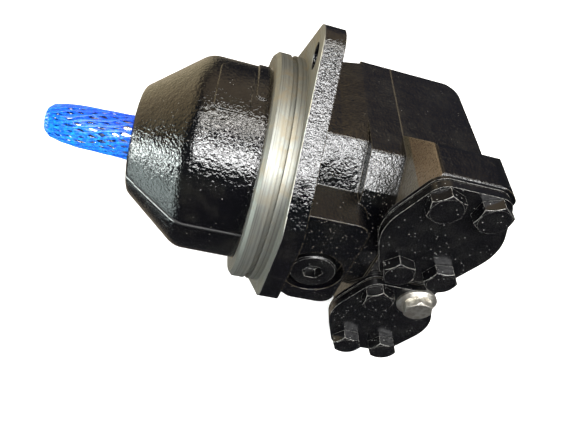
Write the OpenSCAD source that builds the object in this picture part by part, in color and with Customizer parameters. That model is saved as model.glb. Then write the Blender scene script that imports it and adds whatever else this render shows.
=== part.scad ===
// Plug-in axial piston motor with a fixed swash plate, millimetres.
// X is the shaft axis with the shaft end toward -X, Z is up along the two bolt ears,
// and both ports open toward -Y. The origin is on the mounting face, at the pilot's centre.

/* [Mounting flange and pilot] */
// Diameter of the locating pilot
pilot_d = 135; // [100:0.5:160]
// Length of the pilot ahead of the mounting face
pilot_len = 16; // [10:0.5:25]
// Width of the seal groove round the pilot
groove_w = 2.8; // [2:0.1:5]
// Distance of the groove from the mounting face
groove_x = 5; // [3:0.1:8]
// Depth of the seal groove
groove_depth = 2.6; // [1:0.1:4]
// Thickness of the flange
flange_t = 11; // [8:0.5:20]
// Distance between the two mounting holes
bolt_span = 160; // [140:1:200]
// Diameter of the mounting holes
bolt_hole_d = 14; // [10:0.5:20]
// Radius of the rounded end of each ear
ear_r = 15.5; // [12:0.5:22]
// Half width of the flange across its flats
flange_half_w = 75.5; // [70:0.5:85]
// Distance of the slanted sides from the shaft axis
flange_side = 71.8; // [69:0.1:80]
// Rounding of the flange's four side corners
flange_corner_r = 12; // [2:1:20]

/* [Bell] */
// Diameter of the straight part of the bell
bell_d = 114; // [100:1:120]
// Distance from the mounting face to the nose face
nose_x = 83; // [70:1:100]
// Where the cone would meet the bell if it were not rounded
cone_end_x = 50.6; // [40:0.5:60]
// Radius of the nose where the cone would meet the nose face
nose_r = 30.8; // [26:0.5:36]
// Rounding between cone and bell
bell_round = 14; // [5:1:20]
// Rounding of the nose rim
nose_round = 5.5; // [2:0.5:8]
// Height of the casting's parting line above the surface
parting_h = 0.5; // [0.2:0.1:1]
// Height of the two blank raised panels on the bell
panel_h = 1; // [0.3:0.1:1.5]

/* [Rear housing] */
// Distance of the casing's slanted sides from the shaft axis
casing_side = 51.9; // [50:0.1:56]
// Height of the flats above and below the casing
casing_flat = 52.4; // [49:0.2:54]
// How far the casing reaches away from the ports
casing_far_y = 51.5; // [49:0.5:55]
// How far the casing reaches toward the ports
casing_near_y = 50.4; // [49:0.1:55]
// Where the casing widens into its rear flange
rear_flange_x = 38; // [30:1:46]
// Joint plane between housing and port plate
joint_x = 57; // [52:1:62]
// Half height of the rear flange and port plate
rear_half_h = 55; // [50:0.5:60]
// How far the rear flange reaches away from the ports
rear_far_y = 55.3; // [50:0.1:60]
// How far the rear flange reaches toward the ports
rear_near_y = 59.5; // [57:0.5:60]
// Distance of the rear flange's chamfers from the shaft axis
rear_chamfer = 59.7; // [58:0.1:62]

/* [Port plate and ports] */
// Rear end of the port plate
plate_end_x = 105; // [95:1:115]
// Distance of the port face from the shaft axis
port_face_y = 61; // [55:0.5:70]
// Half height of the port block
port_block_h = 74; // [68:0.5:80]
// Position of both ports along the shaft
port_x = 77.75; // [70:0.25:85]
// Distance of each port from the middle plane
port_z = 38.9; // [36:0.1:44]
// Bore of each port
port_bore_d = 19; // [12:0.5:25]
// How far the block's front leans back toward its top and bottom
block_lean = 4; // [0:0.5:6]
// Long spacing of the four cover bolts
cover_span_l = 50.8; // [40:0.1:60]
// Short spacing of the four cover bolts
cover_span_s = 23.8; // [18:0.1:30]
// Thread of the cover bolts
cover_bolt_d = 10; // [8:1:12]
// Across flats of the cover bolt heads
cover_bolt_af = 16; // [13:1:19]
// Height of the cover bolt heads
cover_bolt_h = 6.4; // [5:0.1:8]

/* [Drain ports] */
// Position of the drain ports along the shaft
drain_x = 26.5; // [22:0.5:32]
// Height of the drain ports
drain_z = -10; // [-16:0.5:0]
// Distance of the drain boss face from the shaft axis
drain_face_y = 64; // [60:0.5:70]
// Diameter of the recess round the plug head
drain_recess_d = 34; // [28:0.5:36]
// Diameter of the plug head
plug_head_d = 26; // [20:0.5:28]
// Across flats of the plug's socket
plug_socket_af = 10; // [8:1:12]

/* [Rotating group] */
// Angle of the swash plate
swash = 15; // [8:0.5:18]
// Pitch radius of the cylinder bores
bore_pitch_r = 32; // [28:0.5:34]
// Radius of the cylinder bores
bore_r = 9.42; // [8:0.02:10]
// Radius of the pistons
piston_r = 8.8; // [7:0.02:9.4]
// Radius of the cylinder barrel
barrel_r = 45; // [42:0.5:46]
// Front face of the barrel
barrel_front_x = -8; // [-12:0.5:0]
// Where the plane of the ball centres crosses the shaft axis
ball_plane_x = -24.6; // [-28:0.2:-20]
// Radius of the piston balls
ball_r = 6.5; // [5:0.1:7]

/* [Shaft] */
// Outside diameter of the splined end
spline_d = 21.8; // [18:0.1:30]
// Number of spline teeth
spline_teeth = 13; // [11:1:20]
// Front end of the shaft
shaft_end_x = -117; // [-130:1:-105]
// Closed end of the protective net
net_end_x = -133; // [-140:1:-120]

/* [Hidden] */
$fn = 96;
pilot_r = pilot_d / 2;
bell_r = bell_d / 2;
cone_slope = (bell_r - nose_r) / (nose_x - cone_end_x);
parting_x = nose_x - 6.5;
spline_r = spline_d / 2;
pistons = 9;
piston_step = 360 / pistons;
// the carrier circle of the shoes is this much larger, so that the pistons stay inside
// their bores all the way round the tilted circle
shoe_pitch_r = bore_pitch_r * 2 / (1 + cos(swash));
shoe_height = 9;
film = 0.03;
cavity_r = 46;
valve_plate_t = 5;
barrel_end_x = joint_x - valve_plate_t - 0.05;
bore_end_x = 43;
shaft_r = 14;
shaft_spline_r = 15;
guide_r = 20;
swash_plate_r = 43.4;
swash_back_x = -50;
swash_seat_x = -44;
front_cup_x = -72;
rear_cup_x = 77;
seal_r = 21;
seal_front_x = -81;
seal_back_x = -75;
seat_front_r = 26;
seat_rear_r = 23.5;
front_journal_r = 12.5;
rear_journal_r = 10;
thread_gap = 0.05;
bolt_r = cover_bolt_d / 2;
backing_t = 2;
gasket_t = 1;
cover_t = 4.2;
gasket_inset = 0.8;
cover_mid_r = 30.5;
cover_corner_r = 9.6;
cover_bolt_len = 25;
cover_hole_r = bolt_r + 0.5;
cover_face_y = port_face_y + backing_t + gasket_t + cover_t;
screw_r = 4;
screw_head_r = 6.5;
screw_head_h = 5;
screw_socket_af = 5;
screw_socket_depth = 3.2;
screw_sink = 2;
screw_places = [[-52.2, 0], [-25, 47.5], [-25, -47.5], [43, 43], [43, -43]];
screw_seat_x = plate_end_x - screw_sink - screw_head_h;
screw_tip_x = 44;
plug_thread_r = 9;
plug_head_h = 6.5;
washer_t = 1.5;
boss_end_x = 45;
boss_top_z = 33;
boss_low_z = -37;
far_edge_r = 1.5;
ramp_x = 24;
ramp_y = -5;
end_lean_y = -5;
end_lean = 2.4;
chamfer_end_y = -44.3;
rear_near_z = 12;
front_panel_x = [-44, -26];
front_panel_turn = 97;
front_panel_half_w = 17;
rear_panel_x = [-24, -17.5];
rear_panel_turn = 82;
rear_panel_half_w = 20;
drain_floor_y = drain_face_y - plug_head_h - washer_t;
lean_z = 59.5;
shoulder_y = -12;
block_start_y = -39;
block_corner_r = 14;
plate_far_r = 13;
port_bore_end_y = -36;
passage_r = 7;
passage_end = [68, -18, 29.5];
kidney_in_r = 27.5;
kidney_out_r = 36.5;
kidney_start = 24;
pin_z = -40;
pin_r = 2;
collar_r = 11.4;
collar_top_r = 9.4;

function unit(v) = v / norm(v);
function turn_angle(a, p, b) = acos(unit(a - p) * unit(b - p));
function tangents(a, p, b, r) =
  let (t = r / tan(turn_angle(a, p, b) / 2))
  r == 0 ? [p] : [p + unit(a - p) * t, p + unit(b - p) * t];
function fillet_centre(a, p, b, r) =
  p + unit(unit(a - p) + unit(b - p)) * r / sin(turn_angle(a, p, b) / 2);

// outline with rounded convex corners; each entry of c is [x, y, corner radius]
module rounded(c) {
  n = len(c);
  q = [for (v = c) [v[0], v[1]]];
  polygon([for (i = [0:n - 1]) each tangents(q[(i + n - 1) % n], q[i], q[(i + 1) % n], c[i][2])]);
  for (i = [0:n - 1])
    if (c[i][2] > 0)
      translate(fillet_centre(q[(i + n - 1) % n], q[i], q[(i + 1) % n], c[i][2])) circle(c[i][2]);
}

// outline in the Y-Z plane, pulled along +X
module pull_x(x0, l) {
  translate([x0, 0, 0]) rotate([90, 0, 90]) linear_extrude(l) children();
}

// outline in the X-Z plane, pulled toward -Y
module pull_y(y0, l) {
  translate([0, y0, 0]) rotate([90, 0, 0]) linear_extrude(l) children();
}

module rod_x(x0, x1, r) {
  translate([x0, 0, 0]) rotate([0, 90, 0]) cylinder(h = x1 - x0, r = r);
}

module rod_y(y0, y1, r) {
  translate([0, y0, 0]) rotate([-90, 0, 0]) cylinder(h = y1 - y0, r = r);
}

// rod between two points
module rod(a, b, r) {
  d = b - a;
  translate(a) rotate([0, acos(d[2] / norm(d)), atan2(d[1], d[0])]) cylinder(h = norm(d), r = r);
}

// outline of [x, radius] points turned about the X axis
module turned(p) {
  rotate([0, 90, 0]) rotate_extrude() polygon([for (q = p) [q[1], q[0]]]);
}

module turned_round(p) {
  rotate([0, 90, 0]) rotate_extrude() rounded([for (q = p) [q[1], q[0], q[2]]]);
}

module at_pistons(r) {
  for (i = [0:pistons - 1]) rotate([90 + i * piston_step, 0, 0]) translate([0, r, 0]) children();
}

module swash_frame() {
  translate([ball_plane_x, 0, 0]) rotate([0, 0, -swash]) children();
}

// ---- housing ----

module flange_outline() {
  // slope of a side that touches the ear's round end and keeps its distance from the axis
  sz = (flange_side - ear_r) / (bolt_span / 2);
  sy = sqrt(1 - sz * sz);
  apex = flange_side / sz;
  corner = (flange_side - flange_half_w * sy) / sz;
  rounded([
    [0, apex, ear_r], [-flange_half_w, corner, flange_corner_r], [-flange_half_w, -corner, flange_corner_r],
    [0, -apex, ear_r], [flange_half_w, -corner, flange_corner_r], [flange_half_w, corner, flange_corner_r]
  ]);
}

// far corners are nearly square, the corners toward the ports are cut off at 45 degrees
module casing_outline() {
  cut = casing_side * sqrt(2);
  rounded([
    [casing_far_y, casing_flat, far_edge_r], [casing_flat - cut, casing_flat, 2],
    [-casing_near_y, cut - casing_near_y, 3], [-casing_near_y, casing_near_y - cut, 3],
    [casing_flat - cut, -casing_flat, 2], [casing_far_y, -casing_flat, far_edge_r]
  ]);
}

// slopes on which the casing's top and bottom rise to the height of the rear flange
module casing_ramps() {
  edge_y = casing_flat - casing_side * sqrt(2);
  intersection() {
    pull_x(ramp_x, rear_flange_x + 1 - ramp_x) polygon([
      [edge_y, casing_flat], [ramp_y, rear_half_h], [casing_far_y, rear_half_h],
      [casing_far_y, -rear_half_h], [ramp_y, -rear_half_h], [edge_y, -casing_flat]
    ]);
    pull_y(80, 160) polygon([
      [ramp_x, casing_flat], [rear_flange_x, rear_half_h], [rear_flange_x + 1, rear_half_h],
      [rear_flange_x + 1, -rear_half_h], [rear_flange_x, -rear_half_h], [ramp_x, -casing_flat]
    ]);
  }
}

module rear_outline() {
  cut = rear_chamfer * sqrt(2);
  rounded([
    [rear_far_y, rear_half_h, far_edge_r], [rear_half_h - cut, rear_half_h, 3],
    [chamfer_end_y, cut + chamfer_end_y, 1.5], [-rear_near_y, rear_near_z, 5],
    [-rear_near_y, -rear_near_z, 5], [chamfer_end_y, -cut - chamfer_end_y, 1.5],
    [rear_half_h - cut, -rear_half_h, 3], [rear_far_y, -rear_half_h, far_edge_r]
  ]);
}

module drain_boss(side) {
  mirror([0, side < 0 ? 0 : 1, 0])
    pull_y(-30, drain_face_y - 30)
      rounded([
        [flange_t - 2, boss_low_z + 7, 0], [20, boss_low_z, 6], [boss_end_x, boss_low_z, 8],
        [boss_end_x, boss_top_z, 8], [flange_t - 2, boss_top_z, 0]
      ]);
}

module drain_hole(side) {
  mirror([0, side < 0 ? 0 : 1, 0]) translate([drain_x, 0, drain_z]) {
    rod_y(-drain_face_y - 1, -drain_floor_y, drain_recess_d / 2);
    rod_y(-drain_floor_y - 1, -30, plug_thread_r + thread_gap);
  }
}

// thin ridge along the cone and the bell, in the middle plane
module parting_line(side) {
  mirror([0, side < 0 ? 1 : 0, 0]) linear_extrude(1.2, center = true) rounded([
    [-parting_x, nose_r - 4, 0], [-parting_x, nose_r + cone_slope * (nose_x - parting_x) + parting_h, 0],
    [-cone_end_x - parting_h / 2, bell_r + parting_h, bell_round], [-pilot_len + 1, bell_r + parting_h, 0],
    [-pilot_len + 1, nose_r - 4, 0]
  ]);
}

// blank panel that follows the bell; a is its middle angle from +Y toward +Z
module bell_panel(x0, x1, a, half_w) {
  intersection() {
    rod_x(x0 - 1, x1 + 1, bell_r + panel_h);
    rotate([a - 90, 0, 0]) linear_extrude(bell_r + 5)
      rounded([[x0, -half_w, 3], [x1, -half_w, 3], [x1, half_w, 3], [x0, half_w, 3]]);
  }
}

module housing_body() {
  turned_round([
    [-nose_x, 0, 0], [-nose_x, nose_r, nose_round], [-cone_end_x, bell_r, bell_round], [0, bell_r, 0],
    [0, 0, 0]
  ]);
  turned([[-pilot_len, 0], [-pilot_len, pilot_r - 2], [2 - pilot_len, pilot_r], [1, pilot_r], [1, 0]]);
  pull_x(0, flange_t) flange_outline();
  pull_x(flange_t - 1, rear_flange_x + 2 - flange_t) casing_outline();
  casing_ramps();
  pull_x(rear_flange_x, joint_x - rear_flange_x) rear_outline();
  drain_boss(-1);
  drain_boss(1);
  parting_line(-1);
  parting_line(1);
  bell_panel(front_panel_x[0], front_panel_x[1], front_panel_turn, front_panel_half_w);
  bell_panel(rear_panel_x[0], rear_panel_x[1], rear_panel_turn, rear_panel_half_w);
}

module motor_housing() color([0.05, 0.05, 0.05]) difference() {
  housing_body();
  turned([
    [-nose_x - 1, 0], [-nose_x - 1, seal_r], [-nose_x + 0.8, seal_r], [-nose_x + 0.8, seal_r + 1.2],
    [seal_front_x, seal_r + 1.2], [seal_front_x, seal_r], [seal_back_x, seal_r], [seal_back_x, 17],
    [front_cup_x, 17], [front_cup_x, seat_front_r], [swash_back_x, seat_front_r],
    [swash_back_x, swash_plate_r], [swash_seat_x, swash_plate_r], [swash_seat_x, cavity_r],
    [joint_x + 1, cavity_r], [joint_x + 1, 0]
  ]);
  // seal groove round the pilot
  turned([
    [-groove_x - groove_w, pilot_r - groove_depth], [-groove_x - groove_w, pilot_r + 1],
    [-groove_x, pilot_r + 1], [-groove_x, pilot_r - groove_depth]
  ]);
  for (s = [-1, 1]) translate([0, 0, s * bolt_span / 2]) rod_x(-1, flange_t + 1, bolt_hole_d / 2);
  drain_hole(-1);
  drain_hole(1);
  for (q = screw_places) translate([0, q[0], q[1]]) rod_x(screw_tip_x - 2, joint_x + 1, screw_r + thread_gap);
}

module swash_plate() color([0.6, 0.6, 0.62]) difference() {
  rod_x(swash_back_x, -10, swash_plate_r);
  rod_x(swash_back_x - 1, 0, guide_r + 1.5);
  swash_frame() translate([-shoe_height, -70, -70]) cube([80, 140, 140]);
}

// ---- tapered roller bearings, drawn along +Z from the cup's back face ----

cup_angle = 13;
bearing_mid = 7;
rollers = 15;
function apex_dist(ro) = ro / tan(cup_angle);
function cone_angle(ro, ri) = atan(ri / apex_dist(ro));
function roller_half(ro, ri) = (cup_angle - cone_angle(ro, ri)) / 2;
function roller_axis(ro, ri) = (cup_angle + cone_angle(ro, ri)) / 2;

module bearing_cup(ro, od_r) {
  w = 13;
  rotate_extrude() polygon([
    [ro - bearing_mid * tan(cup_angle), 0], [od_r, 0], [od_r, w],
    [ro + (w - bearing_mid) * tan(cup_angle), w]
  ]);
}

module bearing_cone(ro, ri, bore) {
  k = tan(cone_angle(ro, ri));
  rotate_extrude() polygon([
    [bore, 0.8], [ri - 6 * k, 0.8], [ri - 5.4 * k, 1.6], [ri + 5.8 * k, 12.8],
    [ri + 5.8 * k + 1.5, 12.8], [ri + 5.8 * k + 1.5, 15], [bore, 15]
  ]);
}

module bearing_roller(ro, ri, grow) {
  d = apex_dist(ro);
  b = roller_axis(ro, ri);
  s = d / cos(b);
  half = 4.9;
  k = tan(roller_half(ro, ri));
  r1 = (s - half) * k - film + grow;
  r2 = (s + half) * k - film + grow;
  translate([0, 0, bearing_mid - d]) rotate([0, b, 0]) translate([0, 0, s - half - grow])
    cylinder(h = 2 * (half + grow), r1 = r1, r2 = r2, $fn = 40);
}

module bearing_rollers(ro, ri) {
  b = roller_axis(ro, ri);
  rm = apex_dist(ro) * tan(b);
  for (i = [0:rollers - 1]) rotate([0, 0, i * 360 / rollers]) bearing_roller(ro, ri, 0);
  difference() {
    rotate_extrude() polygon([
      [rm - 6.2 * tan(b) - 0.6, bearing_mid - 6.2], [rm - 6.2 * tan(b) + 0.6, bearing_mid - 6.2],
      [rm + 6.2 * tan(b) + 0.6, bearing_mid + 6.2], [rm + 6.2 * tan(b) - 0.6, bearing_mid + 6.2]
    ]);
    for (i = [0:rollers - 1]) rotate([0, 0, i * 360 / rollers]) bearing_roller(ro, ri, 0.15);
  }
}

front_ro = 22;
front_ri = 16;
rear_ro = 19.4;
rear_ri = 13.4;

module front_bearing() {
  translate([front_cup_x, 0, 0]) rotate([0, 90, 0]) children();
}

module rear_bearing() {
  translate([rear_cup_x, 0, 0]) rotate([0, -90, 0]) children();
}

module front_bearing_cup() color([0.7, 0.7, 0.72]) front_bearing() bearing_cup(front_ro, seat_front_r);

module rear_bearing_cup() color([0.7, 0.7, 0.72]) rear_bearing() bearing_cup(rear_ro, seat_rear_r);

module front_bearing_cone() color([0.7, 0.7, 0.72])
  front_bearing() bearing_cone(front_ro, front_ri, front_journal_r);

module rear_bearing_cone() color([0.7, 0.7, 0.72])
  rear_bearing() bearing_cone(rear_ro, rear_ri, rear_journal_r);

module front_bearing_rollers() color([0.75, 0.75, 0.77]) front_bearing() bearing_rollers(front_ro, front_ri);

module rear_bearing_rollers() color([0.75, 0.75, 0.77]) rear_bearing() bearing_rollers(rear_ro, rear_ri);

// ---- shaft seal ----

module shaft_seal() color([0.12, 0.12, 0.12]) turned([
  [seal_front_x, seal_r], [seal_back_x, seal_r], [seal_back_x, 18], [-79, 18], [-79, 15.5],
  [-76, 14.6], [-76, 13.4], [-77.6, front_journal_r + film], [-78.6, front_journal_r + film],
  [-80, 13.6], [seal_front_x, 14]
]);

module seal_retaining_ring() color([0.3, 0.3, 0.32]) difference() {
  rod_x(-nose_x + 0.85, seal_front_x - 0.05, seal_r + 1.1);
  rod_x(-nose_x - 1, seal_front_x + 1, seal_r - 2.6);
  translate([-nose_x, 12, -4]) cube([4, 14, 8]);
}

// ---- port plate ----

module plate_outline() {
  rounded([
    [rear_far_y, rear_half_h, far_edge_r], [shoulder_y, rear_half_h, 0], [block_start_y, port_block_h, 6],
    [-port_face_y, port_block_h, 2], [-port_face_y, -port_block_h, 2], [block_start_y, -port_block_h, 6],
    [shoulder_y, -rear_half_h, 0], [rear_far_y, -rear_half_h, far_edge_r]
  ]);
}

module kidney(ri, ro, a0, a1) {
  rm = (ri + ro) / 2;
  far = 80;
  intersection() {
    difference() {
      circle(ro);
      circle(ri);
    }
    polygon([
      [0, 0], [far * cos(a0), far * sin(a0)], [far * cos(a0), far], [far * cos(a1), far],
      [far * cos(a1), far * sin(a1)]
    ]);
  }
  for (a = [a0, a1]) translate([rm * cos(a), rm * sin(a)]) circle((ro - ri) / 2);
}

module kidneys() {
  for (m = [0, 1]) mirror([0, m]) kidney(kidney_in_r, kidney_out_r, kidney_start, 180 - kidney_start);
}

module cover_bolt_places(z0) {
  for (sx = [-1, 1])
    for (sz = [-1, 1])
      translate([port_x + sx * cover_span_s / 2, 0, z0 + sz * cover_span_l / 2]) children();
}

module port_plate() color([0.05, 0.05, 0.05]) difference() {
  intersection() {
    pull_x(joint_x + 0.5, plate_end_x - joint_x - 0.5) plate_outline();
    pull_y(70, 140)
      rounded([
        [joint_x + 0.5, -lean_z, 0], [joint_x + 0.5 + block_lean, -port_block_h, 2],
        [plate_end_x, -port_block_h, block_corner_r], [plate_end_x, port_block_h, block_corner_r],
        [joint_x + 0.5 + block_lean, port_block_h, 2], [joint_x + 0.5, lean_z, 0]
      ]);
    linear_extrude(400, center = true)
      rounded([
        [joint_x, -port_face_y, 0], [plate_end_x, -port_face_y, 4], [plate_end_x, end_lean_y, 0],
        [plate_end_x - end_lean, rear_far_y, plate_far_r], [joint_x, rear_far_y, 0]
      ]);
  }
  rod_x(joint_x - 1, rear_cup_x, seat_rear_r);
  rod_x(joint_x, rear_cup_x + 8, 14);
  pull_x(joint_x - 1, 24) kidneys();
  for (s = [-1, 1]) {
    translate([port_x, 0, s * port_z]) rod_y(-port_face_y - 1, port_bore_end_y, port_bore_d / 2);
    mirror([0, 0, s < 0 ? 1 : 0]) rod([port_x, port_bore_end_y - 2, port_z], passage_end, passage_r);
    cover_bolt_places(s * port_z) rod_y(-port_face_y - 1, -port_face_y + 20, bolt_r + thread_gap);
  }
  for (q = screw_places) translate([0, q[0], q[1]]) {
    rod_x(joint_x - 1, plate_end_x + 1, screw_r + 0.5);
    rod_x(screw_seat_x, plate_end_x + 1, screw_head_r + 0.4);
  }
  translate([0, 0, pin_z]) rod_x(joint_x - 1, joint_x + 6, pin_r + thread_gap);
}

module port_plate_gasket() color([0.15, 0.15, 0.16]) difference() {
  pull_x(joint_x, 0.5) rear_outline();
  rod_x(joint_x - 1, joint_x + 1, cavity_r + 0.4);
  for (q = screw_places) translate([0, q[0], q[1]]) rod_x(joint_x - 1, joint_x + 1, screw_r + 0.6);
}

module valve_plate() color([0.72, 0.6, 0.35]) difference() {
  rod_x(joint_x - valve_plate_t, joint_x + 0.5, 43);
  rod_x(joint_x - 10, joint_x + 1, 20);
  pull_x(joint_x - 10, 20) kidneys();
  translate([0, 0, pin_z]) rod_x(joint_x - 3, joint_x + 6, pin_r + thread_gap);
}

module valve_plate_pin() color([0.7, 0.7, 0.72])
  translate([0, 0, pin_z]) rod_x(joint_x - 2.8, joint_x + 5.8, pin_r);

module port_plate_screws() color([0.08, 0.08, 0.08]) {
  for (q = screw_places) translate([0, q[0], q[1]]) difference() {
    union() {
      rod_x(screw_tip_x, screw_seat_x + 1, screw_r);
      rod_x(screw_seat_x, screw_seat_x + screw_head_h, screw_head_r);
    }
    translate([screw_seat_x + screw_head_h - screw_socket_depth, 0, 0]) rotate([0, 90, 0])
      cylinder(h = screw_head_h, r = screw_socket_af / sqrt(3), $fn = 6);
  }
}

// ---- port covers ----

// a disc with two bolt lobes at each end and straight flanks between them
module cover_outline(inset) {
  lobe = [cover_span_s / 2, cover_span_l / 2];
  big = cover_mid_r - inset;
  small = cover_corner_r - inset;
  a = atan2(lobe[1], lobe[0]) - acos((big - small) / norm(lobe));
  d = [cos(a), sin(a)];
  quarter = [big * d, lobe + small * d];
  polygon([
    quarter[0], quarter[1], [lobe[0], lobe[1] + small], [-lobe[0], lobe[1] + small],
    [-quarter[1][0], quarter[1][1]], [-quarter[0][0], quarter[0][1]],
    [-quarter[0][0], -quarter[0][1]], [-quarter[1][0], -quarter[1][1]],
    [-lobe[0], -lobe[1] - small], [lobe[0], -lobe[1] - small],
    [quarter[1][0], -quarter[1][1]], [quarter[0][0], -quarter[0][1]]
  ]);
  circle(big);
  for (sx = [-1, 1])
    for (sz = [-1, 1]) translate([sx * lobe[0], sz * lobe[1]]) circle(small);
}

module cover_layer(side, back, t, inset) {
  difference() {
    pull_y(-back, t) translate([port_x, side * port_z]) cover_outline(inset);
    cover_bolt_places(side * port_z) rod_y(-back - t - 1, -back + 1, cover_hole_r);
  }
}

module port_cover(side) color([0.07, 0.07, 0.07])
  cover_layer(side, port_face_y + backing_t + gasket_t, cover_t, 0);

module port_gasket(side) color([0.2, 0.2, 0.2])
  cover_layer(side, port_face_y + backing_t, gasket_t, gasket_inset);

module backing_plate(side) color([0.07, 0.07, 0.07]) cover_layer(side, port_face_y, backing_t, 0);

module upper_port_cover() port_cover(1);

module lower_port_cover() port_cover(-1);

module upper_port_gasket() port_gasket(1);

module lower_port_gasket() port_gasket(-1);

module upper_backing_plate() backing_plate(1);

module lower_backing_plate() backing_plate(-1);

// hex head with its corners turned off to a shallow cone, axis toward -Y
module hex_head(af, h) {
  e = af / sqrt(3);
  intersection() {
    rotate([90, 0, 0]) cylinder(h = h, r = e, $fn = 6);
    rotate([90, 0, 0]) rotate_extrude() polygon([
      [0, 0], [e + 0.1, 0], [e + 0.1, h - 1.1], [af * 0.475, h], [0, h]
    ]);
  }
}

module cover_bolt(turn) color([0.08, 0.08, 0.08]) {
  rotate([0, turn, 0]) translate([0, -cover_face_y, 0]) hex_head(cover_bolt_af, cover_bolt_h);
  rod_y(-cover_face_y - 2, -cover_face_y + cover_bolt_len, bolt_r);
}

upper_turns = [[12, -8], [20, 35]];
lower_turns = [[4, 0], [26, -14]];

module upper_cover_bolts() {
  for (u = [0, 1])
    for (v = [0, 1])
      translate([port_x + (u - 0.5) * cover_span_s, 0, port_z + (v - 0.5) * cover_span_l])
        cover_bolt(upper_turns[v][u]);
}

module lower_cover_bolts() {
  for (u = [0, 1])
    for (v = [0, 1])
      if (u + v < 2)
        translate([port_x + (u - 0.5) * cover_span_s, 0, -port_z + (v - 0.5) * cover_span_l])
          cover_bolt(lower_turns[v][u]);
}

module flanged_cover_bolt() color([0.75, 0.74, 0.7])
  translate([port_x + cover_span_s / 2, 0, -port_z + cover_span_l / 2]) {
    rod_y(-cover_face_y - 2, -cover_face_y + cover_bolt_len, bolt_r);
    translate([0, -cover_face_y, 0]) rotate([90, 0, 0])
      rotate_extrude() polygon([[0, 0], [collar_r, 0], [collar_r, 1.4], [collar_top_r, 3], [0, 3]]);
    translate([0, -cover_face_y, 0]) rotate([0, 16, 0]) hex_head(15, 7.4);
  }

// ---- drain plugs ----

module plug(side) color([0.07, 0.07, 0.07]) mirror([0, side < 0 ? 0 : 1, 0])
  translate([drain_x, 0, drain_z]) difference() {
    union() {
      rod_y(-drain_floor_y - washer_t - 1, -drain_floor_y + 9, plug_thread_r);
      translate([0, -drain_floor_y - washer_t, 0]) rotate([90, 0, 0]) rotate_extrude() polygon([
        [0, 0], [plug_head_d / 2, 0], [plug_head_d / 2, plug_head_h - 0.8],
        [plug_head_d / 2 - 0.8, plug_head_h], [0, plug_head_h]
      ]);
    }
    translate([0, -drain_face_y + 6, 0]) rotate([90, 0, 0])
      cylinder(h = 12, r = plug_socket_af / sqrt(3), $fn = 6);
  }

module plug_washer(side) color([0.6, 0.35, 0.2]) mirror([0, side < 0 ? 0 : 1, 0])
  translate([drain_x, 0, drain_z]) difference() {
    rod_y(-drain_floor_y - washer_t, -drain_floor_y, plug_head_d / 2 - 0.3);
    rod_y(-drain_floor_y - washer_t - 1, -drain_floor_y + 1, plug_thread_r + 0.2);
  }

module drain_plug() plug(-1);

module drain_plug_washer() plug_washer(-1);

module far_drain_plug() plug(1);

module far_drain_plug_washer() plug_washer(1);

// ---- shaft and rotating group ----

module spline_section(r, depth, teeth) {
  p = 360 / teeth;
  polygon([
    for (i = [0:teeth - 1])
      for (q = [[-0.16, 0], [0.16, 0], [0.27, 1], [0.73, 1]])
        [(r - q[1] * depth) * cos((i + q[0]) * p), (r - q[1] * depth) * sin((i + q[0]) * p)]
  ]);
}

module drive_shaft() color([0.7, 0.7, 0.72]) difference() {
  union() {
    intersection() {
      pull_x(shaft_end_x, 28) spline_section(spline_r, 1.5, spline_teeth);
      turned([
        [shaft_end_x, 0], [shaft_end_x, spline_r - 1.6], [shaft_end_x + 1.8, spline_r + 0.1],
        [-80, spline_r + 0.1], [-80, 0]
      ]);
    }
    turned([
      [-92, 0], [-92, 10.6], [-90, 12], [-84, 12], [-83.5, front_journal_r], [-57, front_journal_r],
      [-57, 15.6], [-46, 15.6], [-45, shaft_r], [32, shaft_r], [32, shaft_spline_r - 1.3],
      [51, shaft_spline_r - 1.3], [51, 12.2], [62, 12.2], [62, rear_journal_r],
      [79, rear_journal_r], [80, rear_journal_r - 1], [80, 0]
    ]);
    pull_x(32, 18) spline_section(shaft_spline_r, 1.4, 18);
  }
  // centre drilling and thread in the shaft end
  turned([
    [shaft_end_x - 1, 0], [shaft_end_x - 1, 4.4], [shaft_end_x + 2.4, 3], [shaft_end_x + 18, 3],
    [shaft_end_x + 20, 0]
  ]);
}

module cylinder_barrel() color([0.65, 0.65, 0.66]) difference() {
  turned([
    [barrel_front_x, 20], [barrel_front_x, barrel_r - 2], [barrel_front_x + 2, barrel_r],
    [barrel_end_x - 6, barrel_r], [barrel_end_x, barrel_r - 4], [barrel_end_x, shaft_spline_r + 0.05],
    [31, shaft_spline_r + 0.05], [31, 20]
  ]);
  at_pistons(bore_pitch_r) rod_x(barrel_front_x - 1, bore_end_x, bore_r);
  at_pistons(bore_pitch_r) rod_x(bore_end_x - 1, barrel_end_x + 1, 4.4);
}

spring_front_x = 4;
spring_back_x = 28;
spring_wire_r = 1.5;
spring_mean_r = 17.2;
spring_turns = 5;
spring_arc = 200;

// square-wire helix: an arc of the wire's ring, wound up along the shaft
module wire_arc(r0, r1, extent) {
  step = extent / 14;
  polygon(concat(
    [for (i = [0:14]) [r1 * cos(i * step), r1 * sin(i * step)]],
    [for (i = [14:-1:0]) [r0 * cos(i * step), r0 * sin(i * step)]]
  ));
}

module barrel_spring() color([0.45, 0.45, 0.47])
  translate([spring_front_x, 0, 0]) rotate([0, 90, 0])
    linear_extrude(spring_back_x - spring_front_x, twist = -360 * spring_turns, slices = 70, $fn = 12)
      wire_arc(spring_mean_r - spring_wire_r, spring_mean_r + spring_wire_r, spring_arc);

module spring_collars() color([0.6, 0.6, 0.62]) {
  for (x = [spring_front_x - 2.6, spring_back_x + 0.1])
    difference() {
      rod_x(x, x + 2.5, 19.8);
      rod_x(x - 1, x + 4, shaft_r + 0.3);
    }
}

module pressure_pins() color([0.7, 0.7, 0.72]) {
  for (a = [30, 150, 270])
    rotate([a, 0, 0]) translate([0, 17.4, 0]) rod_x(ball_plane_x + 6, spring_front_x - 2.6, 1.6);
}

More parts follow.
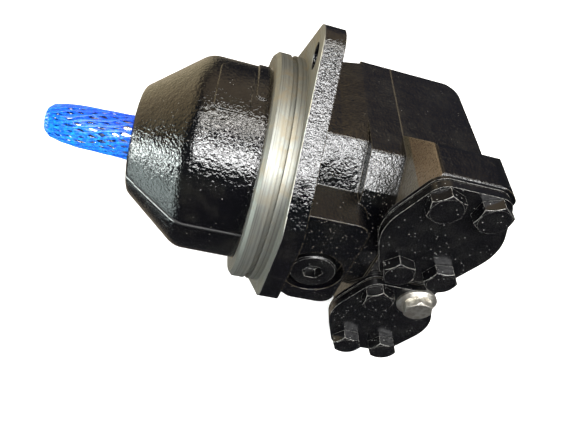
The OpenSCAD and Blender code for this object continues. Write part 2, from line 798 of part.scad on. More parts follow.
module guide_ball() color([0.6, 0.6, 0.62]) difference() {
  intersection() {
    translate([ball_plane_x, 0, 0]) rotate([0, 90, 0]) sphere(guide_r);
    rod_x(ball_plane_x - 8, ball_plane_x + 6, guide_r + 1);
  }
  rod_x(ball_plane_x - 20, ball_plane_x + 20, shaft_r + 0.05);
}

module slipper_retainer() color([0.62, 0.6, 0.5]) swash_frame() difference() {
  rod_x(-5.6, -2.6, 41.5);
  rotate([0, 90, 0]) sphere(guide_r + 0.06);
  at_pistons(shoe_pitch_r) rod_x(-10, 2, 8.7);
}

module slipper_shoes() color([0.72, 0.58, 0.32]) swash_frame() at_pistons(shoe_pitch_r) difference() {
  turned([
    [-shoe_height + film, 0], [-shoe_height + film, 9.6], [-5.8, 9.6], [-5.8, 8.1], [1.8, 8.1],
    [2.6, 7.4], [2.6, 0]
  ]);
  rotate([0, 90, 0]) sphere(ball_r + 0.06);
  turned([[0, 0], [0, ball_r + 0.06], [3, ball_r + 0.3], [3, 0]]);
  rod_x(-shoe_height - 1, -shoe_height + 1, 5);
  rod_x(-shoe_height - 1, 0, 1);
}

module piston(i) {
  a = 90 + (i - 1) * piston_step;
  color([0.74, 0.74, 0.76])
    translate([
      ball_plane_x + shoe_pitch_r * cos(a) * sin(swash), shoe_pitch_r * cos(a) * cos(swash),
      shoe_pitch_r * sin(a)
    ]) difference() {
      union() {
        rotate([0, 90, 0]) sphere(ball_r);
        turned([
          [4, 0], [4, 4], [9, 4], [10, piston_r - 1.6], [11.6, piston_r], [26, piston_r],
          [26.4, piston_r - 0.6], [27.4, piston_r - 0.6], [27.8, piston_r], [34, piston_r],
          [34.4, piston_r - 0.6], [35.4, piston_r - 0.6], [35.8, piston_r], [56, piston_r],
          [57, piston_r - 1], [57, 0]
        ]);
      }
      rod_x(24, 60, 5.4);
      rod_x(-10, 30, 0.8);
    }
}

module piston_1() piston(1);

module piston_2() piston(2);

module piston_3() piston(3);

module piston_4() piston(4);

module piston_5() piston(5);

module piston_6() piston(6);

module piston_7() piston(7);

module piston_8() piston(8);

module piston_9() piston(9);

// closed sleeve of netting drawn over the splined end
module shaft_protection_net() color([0.05, 0.2, 0.7]) turned([
  [-84.8, 12.3], [-84.8, 13.2], [-90, 12.9], [-116, 12], [-124, 10.8], [-130, 9.2],
  [net_end_x, 6.5], [net_end_x, 0], [net_end_x + 1, 0], [net_end_x + 1, 6],
  [-129.4, 8.4], [-123.6, 10], [-116, 11.3], [-92, 12.2]
]);

motor_housing();
swash_plate();
front_bearing_cup();
rear_bearing_cup();
shaft_seal();
seal_retaining_ring();
port_plate();
port_plate_gasket();
valve_plate();
valve_plate_pin();
port_plate_screws();
upper_port_cover();
upper_port_gasket();
upper_backing_plate();
upper_cover_bolts();
lower_port_cover();
lower_port_gasket();
lower_backing_plate();
lower_cover_bolts();
flanged_cover_bolt();
drain_plug();
drain_plug_washer();
far_drain_plug();
far_drain_plug_washer();
drive_shaft();
front_bearing_cone();
rear_bearing_cone();
front_bearing_rollers();
rear_bearing_rollers();
cylinder_barrel();
barrel_spring();
spring_collars();
pressure_pins();
guide_ball();
slipper_retainer();
slipper_shoes();
piston_1();
piston_2();
piston_3();
piston_4();
piston_5();
piston_6();
piston_7();
piston_8();
piston_9();
shaft_protection_net();
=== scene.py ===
import bpy
import math
import random
from mathutils import Matrix, Vector


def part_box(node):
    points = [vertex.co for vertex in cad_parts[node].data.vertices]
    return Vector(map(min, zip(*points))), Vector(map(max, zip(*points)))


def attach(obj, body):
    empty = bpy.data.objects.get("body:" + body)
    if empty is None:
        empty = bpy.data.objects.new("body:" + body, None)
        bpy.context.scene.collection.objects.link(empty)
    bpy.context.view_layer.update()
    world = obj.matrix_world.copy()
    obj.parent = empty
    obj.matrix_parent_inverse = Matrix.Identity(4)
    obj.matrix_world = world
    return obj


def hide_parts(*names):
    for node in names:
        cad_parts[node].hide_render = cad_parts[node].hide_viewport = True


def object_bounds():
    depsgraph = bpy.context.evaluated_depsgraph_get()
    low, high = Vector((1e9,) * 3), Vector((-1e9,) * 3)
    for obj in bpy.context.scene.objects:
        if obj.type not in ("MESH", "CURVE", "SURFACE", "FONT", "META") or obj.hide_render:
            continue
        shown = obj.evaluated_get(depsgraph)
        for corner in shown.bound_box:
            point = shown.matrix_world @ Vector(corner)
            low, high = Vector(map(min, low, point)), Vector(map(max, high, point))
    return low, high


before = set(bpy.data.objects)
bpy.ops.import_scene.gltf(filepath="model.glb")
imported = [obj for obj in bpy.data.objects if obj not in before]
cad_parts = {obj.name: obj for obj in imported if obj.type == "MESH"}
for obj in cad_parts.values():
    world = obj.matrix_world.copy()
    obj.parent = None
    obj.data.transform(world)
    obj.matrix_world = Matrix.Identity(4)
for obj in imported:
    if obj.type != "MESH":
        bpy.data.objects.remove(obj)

cad_lo, cad_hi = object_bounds()
MM = 0.001


# ---- shader building ----

class Shader:
    """A material with its Principled node and short calls for adding nodes in front of it."""

    def __init__(self, name):
        self.mat = bpy.data.materials.new(name)
        self.mat.use_nodes = True
        self.tree = self.mat.node_tree
        self.bsdf = self.tree.nodes["Principled BSDF"]
        self.where = self.add("ShaderNodeTexCoord").outputs["Object"]

    def add(self, kind, **values):
        node = self.tree.nodes.new(kind)
        for key, value in values.items():
            setattr(node, key, value)
        return node

    def put(self, socket, value):
        if isinstance(value, bpy.types.NodeSocket):
            self.tree.links.new(value, socket)
        elif isinstance(value, (tuple, list)) and len(value) == 3 and socket.type == "RGBA":
            socket.default_value = (*value, 1)
        else:
            socket.default_value = value

    def set(self, **values):
        for key, value in values.items():
            self.put(self.bsdf.inputs[key.replace("_", " ")], value)

    def math(self, op, a, b=0.0):
        node = self.add("ShaderNodeMath", operation=op)
        for socket, value in zip(node.inputs, (a, b)):
            self.put(socket, value)
        return node.outputs[0]

    def product(self, first, *others):
        for value in others:
            first = self.math("MULTIPLY", first, value)
        return first

    def xyz(self):
        return self.separate(self.where)

    def facing(self):
        """The three parts of the direction that a face looks in."""
        return self.separate(self.add("ShaderNodeNewGeometry").outputs["Normal"])

    def separate(self, vector):
        node = self.add("ShaderNodeSeparateXYZ")
        self.put(node.inputs[0], vector)
        return node.outputs

    def noise(self, size, detail=3.0, rough=0.55, distortion=0.0):
        """Noise whose lumps are about size metres across."""
        node = self.add("ShaderNodeTexNoise")
        self.put(node.inputs["Vector"], self.where)
        node.inputs["Scale"].default_value = 1 / size
        node.inputs["Detail"].default_value = detail
        node.inputs["Roughness"].default_value = rough
        node.inputs["Distortion"].default_value = distortion
        return node.outputs["Fac"]

    def lines(self, w, size, detail):
        """Noise along one measure only, for turned or drawn lines about size metres apart."""
        node = self.add("ShaderNodeTexNoise", noise_dimensions="1D")
        self.put(node.inputs["W"], w)
        node.inputs["Scale"].default_value = 1 / size
        node.inputs["Detail"].default_value = detail
        node.inputs["Roughness"].default_value = 0.6
        return node.outputs["Fac"]

    def cells(self, size):
        """Distance to the nearest of scattered points that are about size metres apart."""
        node = self.add("ShaderNodeTexVoronoi")
        self.put(node.inputs["Vector"], self.where)
        node.inputs["Scale"].default_value = 1 / size
        return node.outputs["Distance"]

    def band(self, value, low, high, to_low=0.0, to_high=1.0):
        """A smooth step from to_low at low to to_high at high."""
        node = self.add("ShaderNodeMapRange", interpolation_type="SMOOTHSTEP")
        for key, v in zip(("Value", "From Min", "From Max", "To Min", "To Max"),
                          (value, low, high, to_low, to_high)):
            self.put(node.inputs[key], v)
        return node.outputs[0]

    def fade(self, value, low, high):
        """1 up to low, falling to 0 at high."""
        return self.band(value, low, high, 1.0, 0.0)

    def mix(self, fac, a, b):
        node = self.add("ShaderNodeMix", data_type="RGBA")
        self.put(node.inputs[0], fac)
        self.put(node.inputs[6], a)
        self.put(node.inputs[7], b)
        return node.outputs[2]

    def blend(self, fac, a, b):
        node = self.add("ShaderNodeMix", data_type="FLOAT")
        self.put(node.inputs[0], fac)
        self.put(node.inputs[2], a)
        self.put(node.inputs[3], b)
        return node.outputs[0]

    def bump(self, height, depth, strength, normal=None):
        node = self.add("ShaderNodeBump")
        self.put(node.inputs["Height"], height)
        node.inputs["Distance"].default_value = depth
        self.put(node.inputs["Strength"], strength)
        if normal is not None:
            self.put(node.inputs["Normal"], normal)
        return node.outputs[0]

    def bevel(self, radius):
        node = self.add("ShaderNodeBevel", samples=6)
        node.inputs["Radius"].default_value = radius
        return node.outputs[0]

    def edge_highlight_mask(self, radius):
        """1 along sharp outer and inner edges, 0 elsewhere; it places the painted edge highlights."""
        true = self.add("ShaderNodeNewGeometry").outputs["Normal"]
        node = self.add("ShaderNodeVectorMath", operation="DOT_PRODUCT")
        self.put(node.inputs[0], true)
        self.put(node.inputs[1], self.bevel(radius))
        return self.fade(node.outputs["Value"], 0.86, 0.98)

    def radius(self):
        """Distance from the shaft axis."""
        y, z = self.xyz()[1:]
        return self.math("SQRT", self.math("ADD", self.product(y, y), self.product(z, z)))


# ---- finishes ----

# where a finish changes, as the two ends of each change: X runs back from the mounting face
PILOT_FRONT_X = (-16.6 * MM, -16.4 * MM)
PILOT_BACK_X = (0.25 * MM, 0.6 * MM)
PILOT_RADIUS = (57.6 * MM, 57.9 * MM)
BELL_END_X = (-3 * MM, 0.0)
FLANGE_BACK_X = (9 * MM, 13 * MM)
CASING_END_X = (33 * MM, 39 * MM)
BROWN_END_X = (34 * MM, 58 * MM)
CONE_END_X = (-54 * MM, -51 * MM)
DUSTY_ABOVE_Z = (35 * MM, 42 * MM)
FILM_ABOVE_Z = (20 * MM, 26 * MM)
LOW_SIDE_Z = (44 * MM, 67 * MM)
SEAM_Z = (1 * MM, 1.6 * MM)
RIDGE_Z = (0.25 * MM, 0.5 * MM)

# how a face's direction counts as level, as looking toward -Y or -X, and as the leaning rear face
LEVEL = (0.8, 0.95)
TOWARD_MINUS_Y = (-0.2, -0.6)
TOWARD_MINUS_X = (-0.9, -0.6)
LEANING = (-0.995, -0.985)

PAINT_BEVEL = 1.0 * MM
PAINT_EDGE = 0.9 * MM
PAINT_RELIEF = 0.4 * MM
METAL_BEVEL = 0.35 * MM
METAL_RELIEF = 0.025 * MM
# the flange's slanted side turns by this much more toward -Y and -Z at its low end
LOW_SIDE_TURN = (0, -0.17, -0.2)

BLACK = (0.0012, 0.0012, 0.0017)
BLACK_FILM = (0.005, 0.0048, 0.0044)
BROWN_DUST = (0.014, 0.0105, 0.0055)
GREY_SMEAR = (0.035, 0.033, 0.025)
# painted highlights on the casting paint: sparse sparkle specks and denser glints
PAINTED_SPARKLE = (0.2, 0.19, 0.17)
PAINTED_GLINT = (0.34, 0.31, 0.27)
# painted highlight along the casting's edges
CASTING_EDGE_HIGHLIGHT = (0.15, 0.125, 0.085)
PILOT_DARK = (0.18, 0.186, 0.17)
PILOT_LIGHT = (0.245, 0.255, 0.23)
PILOT_BROWN_TINT = (0.24, 0.215, 0.16)
PILOT_STREAK = (0.05, 0.048, 0.042)
RIDGE_METAL = (0.6, 0.63, 0.62)
PLATE_FILM = (0.1, 0.085, 0.055)
LEANING_FILM = (0.1, 0.07, 0.042)
# painted highlight along the plate's edges
PLATE_EDGE_HIGHLIGHT = (0.1, 0.08, 0.05)
GLOSS = (0.0018, 0.0018, 0.0022)
GLOSS_FILM = (0.0045, 0.0045, 0.0045)
PALE_DOT = (0.3, 0.3, 0.29)
# painted highlight along the edges of covers, bolts and plugs
SMOOTH_EDGE_HIGHLIGHT = (0.42, 0.41, 0.38)


def casting_paint(s):
    """Gloss black paint over a rough casting, with painted sparkles, glints and edge highlights: returns
    its colour, roughness and normal.
    """
    x, _, z = s.xyz()
    facing_y, facing_z = s.facing()[1:]
    off_axis = s.math("ABSOLUTE", z)
    on_bell = s.fade(x, *BELL_END_X)
    behind_flange = s.band(x, *FLANGE_BACK_X)
    looks_near = s.band(facing_y, *TOWARD_MINUS_Y)
    level = s.product(s.band(s.math("ABSOLUTE", facing_z), *LEVEL), s.band(z, *DUSTY_ABOVE_Z))

    # the casting's skin: coarse on the bell, fine behind the flange
    coarse = s.noise(1.7 * MM, 2, 0.55, distortion=0.4)
    fine = s.product(s.noise(1.25 * MM, 2, 0.55), 0.9)
    lumps = s.product(s.noise(7 * MM, 2, 0.5), 0.8)
    height = s.math("ADD", s.blend(on_bell, fine, coarse), lumps)

    # thin film, and brown dust on the level faces behind the flange
    film = s.band(s.noise(16 * MM, 5, 0.6), 0.46, 0.72)
    mottle = s.band(s.noise(2.2 * MM, 4, 0.7), 0.4, 0.66)
    wavy_x = s.math("ADD", x, s.product(s.noise(20 * MM), 30 * MM))
    dust = s.product(mottle, s.fade(wavy_x, *BROWN_END_X), s.product(behind_flange, level))
    colour = s.mix(film, BLACK, BLACK_FILM)
    colour = s.mix(s.product(dust, 0.8), colour, BROWN_DUST)

    # smears, painted sparkle highlights as pale specks, and denser painted glints on the side that looks
    # toward -Y
    smear = s.band(s.noise(1.6 * MM, 4, 0.7), 0.56, 0.66)
    smear = s.product(smear, s.band(s.noise(14 * MM, 2, 0.5), 0.52, 0.62))
    colour = s.mix(s.product(smear, level, 0.5), colour, GREY_SMEAR)
    speck_and_sparkle = s.product(s.fade(s.cells(3.1 * MM), 0.04, 0.13), s.band(s.noise(9 * MM), 0.5, 0.62))
    colour = s.mix(s.product(speck_and_sparkle, 0.55), colour, PAINTED_SPARKLE)
    glint_highlight = s.product(s.fade(s.cells(1.3 * MM), 0.08, 0.24), s.band(s.noise(4 * MM, 4, 0.7), 0.5, 0.6))
    colour = s.mix(s.product(glint_highlight, behind_flange, looks_near, 0.7), colour, PAINTED_GLINT)

    # painted highlights along the edges, except along the bell's parting seam, which stays dull
    edge = s.product(s.edge_highlight_mask(PAINT_EDGE), s.band(s.noise(2.5 * MM), 0.36, 0.52))
    edge = s.product(edge, s.blend(on_bell, 1.0, s.band(off_axis, *SEAM_Z)))
    colour = s.mix(s.product(edge, s.blend(on_bell, 0.28, 0.3)), colour, CASTING_EDGE_HIGHLIGHT)
    rough = s.math("ADD", s.band(s.noise(9 * MM), 0.3, 0.7, 0.1, 0.15), s.product(film, 0.04))
    rough = s.blend(s.product(on_bell, s.fade(off_axis, *SEAM_Z)), rough, 0.6)

    # the slanted side of the flange and casing turns downward slightly toward its low end
    wavy_z = s.math("ADD", z, s.product(s.noise(6 * MM, 3, 0.6), 24 * MM))
    near_side = s.product(s.math("SUBTRACT", 1.0, on_bell), looks_near)
    low_side = s.product(near_side, s.fade(wavy_z, *LOW_SIDE_Z), s.fade(x, *CASING_END_X))
    turned = s.add("ShaderNodeVectorMath", operation="MULTIPLY_ADD")
    for socket, value in zip(turned.inputs, (low_side, LOW_SIDE_TURN, s.bevel(PAINT_BEVEL))):
        s.put(socket, value)
    height = s.math("ADD", height, s.product(speck_and_sparkle, 0.3))
    return colour, rough, s.bump(height, PAINT_RELIEF, 1.0, turned.outputs[0])


def housing_paint():
    """The casting's paint, with the pilot turned bright and the cone's parting ridge rubbed bare."""
    s = Shader("casting with machined pilot")
    colour, rough, normal = casting_paint(s)
    x, _, z = s.xyz()
    r = s.radius()
    waver = s.product(s.math("SUBTRACT", s.noise(3 * MM), 0.5), 0.8 * MM)
    outside = s.band(s.math("ADD", r, waver), *PILOT_RADIUS)
    ahead = s.band(x, *PILOT_FRONT_X)
    behind = s.fade(s.math("ADD", x, s.product(waver, 0.6)), *PILOT_BACK_X)
    bare = s.product(outside, ahead, behind)

    # turned lines, a brown tint that is stronger toward the top, and dark streaks
    turned_w = s.math("ADD", x, r)
    coarse = s.lines(turned_w, 1.1 * MM, 3)
    fine = s.lines(turned_w, 0.22 * MM, 2)
    blotch = s.noise(9 * MM, 4, 0.6, distortion=0.6)
    upper = s.band(s.math("DIVIDE", z, r), 0.2, 0.8)
    metal = s.mix(s.band(coarse, 0.35, 0.65), PILOT_DARK, PILOT_LIGHT)
    metal = s.mix(s.product(s.band(blotch, 0.4, 0.7), s.blend(upper, 0.35, 1.0)), metal, PILOT_BROWN_TINT)
    streak_w = s.math("ADD", turned_w, s.product(blotch, 0.6 * MM))
    streak = s.band(s.lines(streak_w, 0.9 * MM, 2), 0.62, 0.68)
    metal = s.mix(s.product(streak, 0.5), metal, PILOT_STREAK)
    rubbed = s.math("ADD", blotch, s.product(fine, 0.3))
    metal_rough = s.band(rubbed, 0.35, 0.95, 0.48, 0.64)
    grooves = s.math("ADD", coarse, s.product(fine, 0.5))
    metal_normal = s.bump(grooves, METAL_RELIEF, 0.8, s.bevel(METAL_BEVEL))

    ridge = s.product(s.fade(s.math("ABSOLUTE", z), *RIDGE_Z), s.fade(x, *CONE_END_X))
    ridge = s.product(ridge, s.band(s.noise(1.5 * MM), 0.35, 0.5, 0.3, 1.0))
    colour = s.mix(ridge, colour, RIDGE_METAL)
    rough = s.blend(ridge, rough, 0.4)
    tangent = s.add("ShaderNodeTangent", direction_type="RADIAL", axis="X")
    s.set(Base_Color=s.mix(bare, colour, metal),
          Metallic=s.math("MAXIMUM", s.product(bare, 0.84), s.product(ridge, 0.7)),
          Roughness=s.blend(bare, rough, metal_rough),
          Normal=s.mix(bare, normal, metal_normal),
          Specular_IOR_Level=0.6,
          Anisotropic=s.product(bare, 0.35),
          Anisotropic_Rotation=0.25,
          Tangent=tangent.outputs[0])
    return s.mat


def plate_paint():
    """The casting's paint, with a thin dusty film on the faces that look toward the shaft end, and
    painted highlights along its edges.
    """
    s = Shader("casting paint")
    colour, rough, normal = casting_paint(s)
    z = s.xyz()[2]
    facing = s.facing()[0]
    front = s.product(s.fade(facing, *TOWARD_MINUS_X), s.band(z, *FILM_ABOVE_Z))
    patch = s.band(s.noise(0.8 * MM, 4, 0.7), 0.3, 0.6, 0.25, 1.0)
    # painted highlights along the edges
    rim_highlight = s.product(s.edge_highlight_mask(PAINT_EDGE), s.band(s.noise(2 * MM), 0.35, 0.5))
    brown = s.product(front, patch)
    colour = s.mix(brown, colour, s.mix(s.band(facing, *LEANING), PLATE_FILM, LEANING_FILM))
    colour = s.mix(s.product(rim_highlight, 0.45), colour, PLATE_EDGE_HIGHLIGHT)
    s.set(Base_Color=colour, Roughness=s.blend(brown, rough, 0.4), Normal=normal, Specular_IOR_Level=0.6)
    return s.mat


def smooth_paint(name, edge, edge_highlight_strength, specks, speck_size):
    """Gloss black paint on a machined or forged piece, with pale specks and painted highlights along its
    edges.
    """
    s = Shader(name)
    wave = s.noise(3.5 * MM, 3, 0.5)
    grain = s.noise(0.8 * MM, 3, 0.6)
    # pale specks scattered over the paint, also raised a little in the bump
    dust = s.product(s.fade(s.cells(speck_size), 0.06, 0.2), s.band(s.noise(5 * MM), 0.5, 0.58))
    base = s.mix(s.band(s.noise(10 * MM), 0.4, 0.7), GLOSS, GLOSS_FILM)
    colour = s.mix(s.product(dust, specks), base, PALE_DOT)
    # painted highlights along the edges
    edge_gleam = s.product(s.edge_highlight_mask(edge), s.band(s.noise(1.8 * MM), 0.34, 0.56))
    colour = s.mix(s.product(edge_gleam, edge_highlight_strength), colour, SMOOTH_EDGE_HIGHLIGHT)
    height = s.math("ADD", wave, s.product(grain, 0.25))
    height = s.math("ADD", height, s.product(dust, 0.6))
    s.set(Base_Color=colour, Roughness=s.band(wave, 0.3, 0.7, 0.15, 0.25),
          Normal=s.bump(height, 0.22 * MM, 0.8, s.bevel(edge)), Specular_IOR_Level=0.55)
    return s.mat


def oxide(name, tone, rough):
    """Blackened steel."""
    s = Shader(name)
    cloud = s.noise(2.5 * MM, 4, 0.6)
    fine = s.noise(0.35 * MM, 2, 0.6)
    colour = s.mix(s.band(cloud, 0.35, 0.7), tuple(c * 0.7 for c in tone), tuple(c * 1.35 for c in tone))
    s.set(Base_Color=colour, Metallic=0.55, Roughness=s.band(cloud, 0.3, 0.7, rough - 0.05, rough + 0.1),
          Normal=s.bump(fine, 0.04 * MM, 0.7, s.bevel(METAL_BEVEL)))
    return s.mat


def metal(name, dark, light, rough, turned=True):
    """Bare metal with a cloudy film, with machining lines round the shaft axis if it is turned."""
    s = Shader(name)
    line = s.lines(s.math("ADD", s.xyz()[0], s.radius()), 0.3 * MM, 3) if turned else s.noise(0.9 * MM, 3)
    cloud = s.noise(5 * MM, 4, 0.6)
    both = s.math("ADD", s.product(line, 0.5), s.product(cloud, 0.5))
    colour = s.mix(s.band(both, 0.3, 0.7), dark, light)
    s.set(Base_Color=colour, Metallic=1.0, Roughness=s.band(cloud, 0.3, 0.7, rough - 0.06, rough + 0.1),
          Normal=s.bump(line, 0.03 * MM, 0.6, s.bevel(0.25 * MM)))
    return s.mat


def zinc():
    """Dull zinc plating."""
    s = Shader("zinc plate")
    cloud = s.noise(3 * MM, 4, 0.6)
    grain = s.noise(0.5 * MM, 3, 0.6)
    colour = s.mix(s.band(cloud, 0.35, 0.7), (0.56, 0.53, 0.46), (0.88, 0.86, 0.8))
    s.set(Base_Color=colour, Metallic=1.0, Roughness=s.band(grain, 0.3, 0.7, 0.34, 0.52),
          Normal=s.bump(s.math("ADD", cloud, grain), 0.08 * MM, 0.8, s.bevel(0.5 * MM)))
    return s.mat


def rubber(name, tone, rough):
    """Fine-grained rubber or gasket sheet."""
    s = Shader(name)
    grain = s.noise(0.5 * MM, 3, 0.6)
    colour = s.mix(s.band(s.noise(4 * MM), 0.35, 0.7), tone, tuple(c * 1.8 for c in tone))
    s.set(Base_Color=colour, Roughness=s.band(grain, 0.3, 0.7, rough, rough + 0.15),
          Normal=s.bump(grain, 0.06 * MM, 0.6))
    return s.mat


def net_plastic():
    """Blue plastic with drawn streaks, darker along the top of the sleeve."""
    s = Shader("net plastic")
    streak = s.noise(1.6 * MM, 3, 0.5)
    fine = s.noise(0.4 * MM, 2, 0.5)
    colour = s.mix(s.band(streak, 0.35, 0.7), (0.002, 0.065, 0.5), (0.002, 0.2, 0.74))
    colour = s.mix(s.band(s.xyz()[2], 6 * MM, 13 * MM, 0.0, 0.6), colour, (0.008, 0.045, 0.6))
    s.set(Base_Color=colour, Roughness=s.band(fine, 0.3, 0.7, 0.22, 0.34),
          Normal=s.bump(streak, 0.1 * MM, 0.6), Specular_IOR_Level=0.4)
    return s.mat


finishes = {
    "black_paint": plate_paint(),
    "cover_paint": smooth_paint("cover paint", 0.5 * MM, 0.4, 0.6, 2.0 * MM),
    "bolt_paint": smooth_paint("bolt paint", 0.6 * MM, 0.7, 0.9, 1.9 * MM),
    "plug_black": smooth_paint("plug paint", 0.5 * MM, 0.5, 0.3, 2.4 * MM),
    "black_oxide": oxide("black oxide", (0.02, 0.02, 0.022), 0.35),
    "zinc": zinc(),
    "ground_steel": metal("ground steel", (0.46, 0.46, 0.46), (0.66, 0.66, 0.66), 0.24),
    "hardened_steel": metal("hardened steel", (0.42, 0.42, 0.43), (0.62, 0.62, 0.63), 0.2),
    "spring_steel": metal("spring steel", (0.16, 0.15, 0.14), (0.3, 0.29, 0.28), 0.34, False),
    "bearing_bronze": metal("bearing bronze", (0.48, 0.29, 0.12), (0.68, 0.45, 0.2), 0.28),
    "copper_washer": metal("copper", (0.5, 0.22, 0.12), (0.75, 0.38, 0.22), 0.3, False),
    "seal_rubber": rubber("seal rubber", (0.012, 0.012, 0.013), 0.4),
    "gasket": rubber("gasket sheet", (0.016, 0.013, 0.008), 0.6),
    "net_plastic": net_plastic(),
}
housing_finish = housing_paint()
for name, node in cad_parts.items():
    for held in node.material_slots:
        slot_name = held.material.name.split(".")[0]
        held.material = housing_finish if name == "motor_housing" else finishes[slot_name]


# ---- protective net ----

net_lo, net_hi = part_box("shaft_protection_net")
STRANDS = 21
DIAMOND = 12.5 * MM
STRAND_W = 2.0 * MM
STRAND_T = 0.7 * MM
STRAND_SIDES = 8
STRAND_STEPS = 120
# each strand sways by this angle and widens and narrows by this share, at so much per step
SWAY, SWAY_PACE = 0.035, 0.11
SWELL, SWELL_PACE = 0.3, 0.19
# how far the second set of strands is turned, as a share of the gap between two
SECOND_SET = 0.4
SECOND_SEEDS = 100
TIP_HOLE_R = 0.6 * MM
# strands of the two senses cross this far inside and outside the middle of the wall
CROSSING = 0.25 * MM
# share of the length from the bell toward the tip, and share of the radius; it closes at the tip
NET_PATH = [
    (0.01, 0.96), (0.11, 0.935), (0.65, 0.87), (0.81, 0.79),
    (0.93, 0.68), (0.985, 0.5), (0.985, 0.09),
]


def net_points(count):
    """Evenly spaced (x, radius) points along the middle of the sleeve's wall, and their spacing."""
    length, full = net_hi[0] - net_lo[0], (net_hi[1] - net_lo[1]) / 2
    path = [(net_hi[0] - t * length, k * full) for t, k in NET_PATH]
    legs = [math.dist(a, b) for a, b in zip(path, path[1:])]
    step = sum(legs) / count
    points, leg, done = [], 0, 0.0
    for i in range(count + 1):
        while leg < len(legs) - 1 and i * step > done + legs[leg]:
            done += legs[leg]
            leg += 1
        k = min(1.0, (i * step - done) / legs[leg])
        a, b = path[leg], path[leg + 1]
        points.append((a[0] + (b[0] - a[0]) * k, a[1] + (b[1] - a[1]) * k))
    return points, step


def strand(verts, faces, start, sense, seed):
    """Adds one flat strand that winds along the sleeve from the angle start, in one of two senses."""
    rng = random.Random(seed)
    phase, pace = rng.uniform(0, 6.28), rng.uniform(0.8, 1.2)
    base = len(verts)
    points, step = net_points(STRAND_STEPS)
    turn = 2 * math.pi / STRANDS / DIAMOND * sense
    ring = []
    for i, (x, r) in enumerate(points):
        a = start + turn * i * step + SWAY * math.sin(i * SWAY_PACE * pace + phase)
        r = max(r + CROSSING * sense, TIP_HOLE_R)
        ring.append((Vector((x, r * math.cos(a), r * math.sin(a))), a))
    for i, (mid, a) in enumerate(ring):
        before, after = ring[max(i - 1, 0)][0], ring[min(i + 1, len(ring) - 1)][0]
        tangent = (after - before).normalized()
        flat = tangent.cross(Vector((0, -math.sin(a), math.cos(a)))).normalized()
        side = tangent.cross(flat).normalized()
        half_w = STRAND_W / 2 * (1 + SWELL * math.sin(i * SWELL_PACE * pace + phase * 2))
        for j in range(STRAND_SIDES):
            c = 2 * math.pi * j / STRAND_SIDES
            verts.append(mid + side * half_w * math.cos(c) + flat * STRAND_T / 2 * math.sin(c))
    for i in range(STRAND_STEPS):
        for j in range(STRAND_SIDES):
            a, b = base + i * STRAND_SIDES + j, base + i * STRAND_SIDES + (j + 1) % STRAND_SIDES
            faces.append((a, b, b + STRAND_SIDES, a + STRAND_SIDES))
    last = base + STRAND_STEPS * STRAND_SIDES
    faces.append(tuple(base + j for j in range(STRAND_SIDES)))
    faces.append(tuple(last + j for j in reversed(range(STRAND_SIDES))))


def protective_net():
    """The woven sleeve over the splined shaft end."""
    verts, faces = [], []
    for k in range(STRANDS):
        strand(verts, faces, 2 * math.pi * k / STRANDS, 1, k)
        strand(verts, faces, 2 * math.pi * (k + SECOND_SET) / STRANDS, -1, SECOND_SEEDS + k)
    mesh = bpy.data.meshes.new("protective_net")
    mesh.from_pydata(verts, [], faces)
    mesh.polygons.foreach_set("use_smooth", [True] * len(mesh.polygons))
    net = bpy.data.objects.new("protective_net", mesh)
    bpy.context.scene.collection.objects.link(net)
    mesh.materials.append(finishes["net_plastic"])
    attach(net, "rotor")
    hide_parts("shaft_protection_net")


protective_net()


# ---- floor, lights and camera ----

FLOOR_HALF = 3.0
FLOOR_GAP = 0.2 * MM


def floor():
    """A pale floor just under the part, which reflections don't show."""
    mesh = bpy.data.meshes.new("floor")
    half, z = FLOOR_HALF, cad_lo[2] - FLOOR_GAP
    corners = [(-half, -half, z), (half, -half, z), (half, half, z), (-half, half, z)]
    mesh.from_pydata(corners, [], [(0, 1, 2, 3)])
    plane = bpy.data.objects.new("floor", mesh)
    bpy.context.scene.collection.objects.link(plane)
    s = Shader("pale floor")
    s.set(Base_Color=s.mix(s.noise(0.4), (0.86, 0.86, 0.86), (0.9, 0.9, 0.9)), Roughness=0.7,
          Emission_Color=(1.0, 1.0, 1.0), Emission_Strength=0.6)
    mesh.materials.append(s.mat)
    plane.visible_glossy = False


def toward(azimuth, elevation):
    """Unit vector; azimuth is counted from +X toward +Y."""
    a, e = math.radians(azimuth), math.radians(elevation)
    return Vector((math.cos(a) * math.cos(e), math.sin(a) * math.cos(e), math.sin(e)))


# name, azimuth, elevation, distance, width, height, radiance and tint
SOFTBOXES = [
    ("key", -88, 46, 1.0, 1.3, 0.23, 29, (1.0, 1.0, 1.0)),
    ("top", -84, 80, 1.0, 1.2, 0.14, 20, (1.0, 0.97, 0.92)),
    ("side", -172, -3, 0.5, 0.16, 0.11, 24, (0.92, 1.0, 0.97)),
]


def softbox(name, azimuth, elevation, distance, width, height, radiance, tint):
    """A rectangular light aimed at the object."""
    away = toward(azimuth, elevation)
    light = bpy.data.lights.new(name, "AREA")
    light.shape = "RECTANGLE"
    light.size, light.size_y = width, height
    light.energy = radiance * math.pi * width * height
    light.color = tint
    lamp = bpy.data.objects.new(name, light)
    lamp.location = away * distance
    lamp.rotation_euler = away.to_track_quat("Z", "Y").to_euler()
    lamp.visible_camera = False
    bpy.context.scene.collection.objects.link(lamp)


# broad soft reflectors round the object: azimuth, elevation, half angle and radiance
REFLECTORS = [
    (95, 62, 36, (0.8, 0.62, 0.4)),
    (152, 12, 32, (1.15, 0.9, 0.52)),
    (118, 0, 28, (0.9, 0.75, 0.45)),
    (67, 28, 26, (0.035, 0.04, 0.07)),
    (110, -36, 34, (0.5, 0.42, 0.3)),
    (-166, -30, 22, (3.0, 3.5, 3.4)),
]
# the share of a reflector's half angle that is at full strength
REFLECTOR_CORE = 0.35
ROOM = (0.04, 0.04, 0.043)


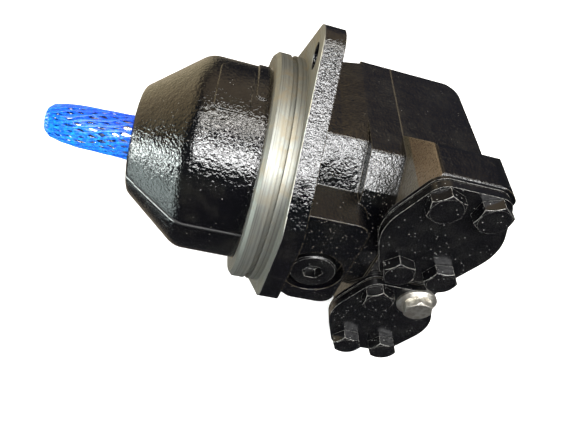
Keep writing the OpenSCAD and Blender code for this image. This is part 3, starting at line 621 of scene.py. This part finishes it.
def surround():
    """The reflectors on a dim room for reflections and light, and white for the camera."""
    world = bpy.data.worlds.new("studio")
    bpy.context.scene.world = world
    world.use_nodes = True
    tree = world.node_tree
    link = tree.links.new
    background = tree.nodes["Background"]
    where = tree.nodes.new("ShaderNodeTexCoord").outputs["Generated"]
    total = None
    for azimuth, elevation, half, radiance in REFLECTORS:
        dot = tree.nodes.new("ShaderNodeVectorMath")
        dot.operation = "DOT_PRODUCT"
        link(where, dot.inputs[0])
        dot.inputs[1].default_value = toward(azimuth, elevation)
        fade = tree.nodes.new("ShaderNodeMapRange")
        fade.interpolation_type = "SMOOTHSTEP"
        link(dot.outputs["Value"], fade.inputs["Value"])
        fade.inputs["From Min"].default_value = math.cos(math.radians(half))
        fade.inputs["From Max"].default_value = math.cos(math.radians(half * REFLECTOR_CORE))
        glow = tree.nodes.new("ShaderNodeVectorMath")
        glow.operation = "MULTIPLY_ADD"
        link(fade.outputs[0], glow.inputs[0])
        glow.inputs[1].default_value = radiance
        if total is None:
            glow.inputs[2].default_value = ROOM
        else:
            link(total, glow.inputs[2])
        total = glow.outputs[0]
    seen = tree.nodes.new("ShaderNodeLightPath").outputs["Is Camera Ray"]
    pale = tree.nodes.new("ShaderNodeMix")
    pale.data_type = "VECTOR"
    link(seen, pale.inputs[0])
    link(total, pale.inputs[4])
    pale.inputs[5].default_value = (1, 1, 1)
    link(pale.outputs[1], background.inputs["Color"])


CAMERA_AT = Vector((-41.8, -230.3, 205.7)) * MM
CAMERA_RIGHT = (0.963, 0.026, 0.268)
CAMERA_FORWARD = (0.18, 0.678, -0.713)
LENS = 31.5


def camera():
    """The viewpoint, above the near side and looking down on the ports."""
    cam = bpy.data.cameras.new("camera")
    cam.sensor_width = 36
    cam.lens = LENS
    cam.clip_start = 0.01
    cam.clip_end = 20
    obj = bpy.data.objects.new("camera", cam)
    right = Vector(CAMERA_RIGHT).normalized()
    forward = Vector(CAMERA_FORWARD).normalized()
    up = right.cross(forward).normalized()
    right = forward.cross(up).normalized()
    turn = Matrix((right, up, -forward)).transposed().to_4x4()
    obj.matrix_world = Matrix.Translation(CAMERA_AT) @ turn
    bpy.context.scene.collection.objects.link(obj)
    bpy.context.scene.camera = obj


floor()
for values in SOFTBOXES:
    softbox(*values)
surround()
camera()
bpy.context.scene.view_settings.view_transform = "Standard"
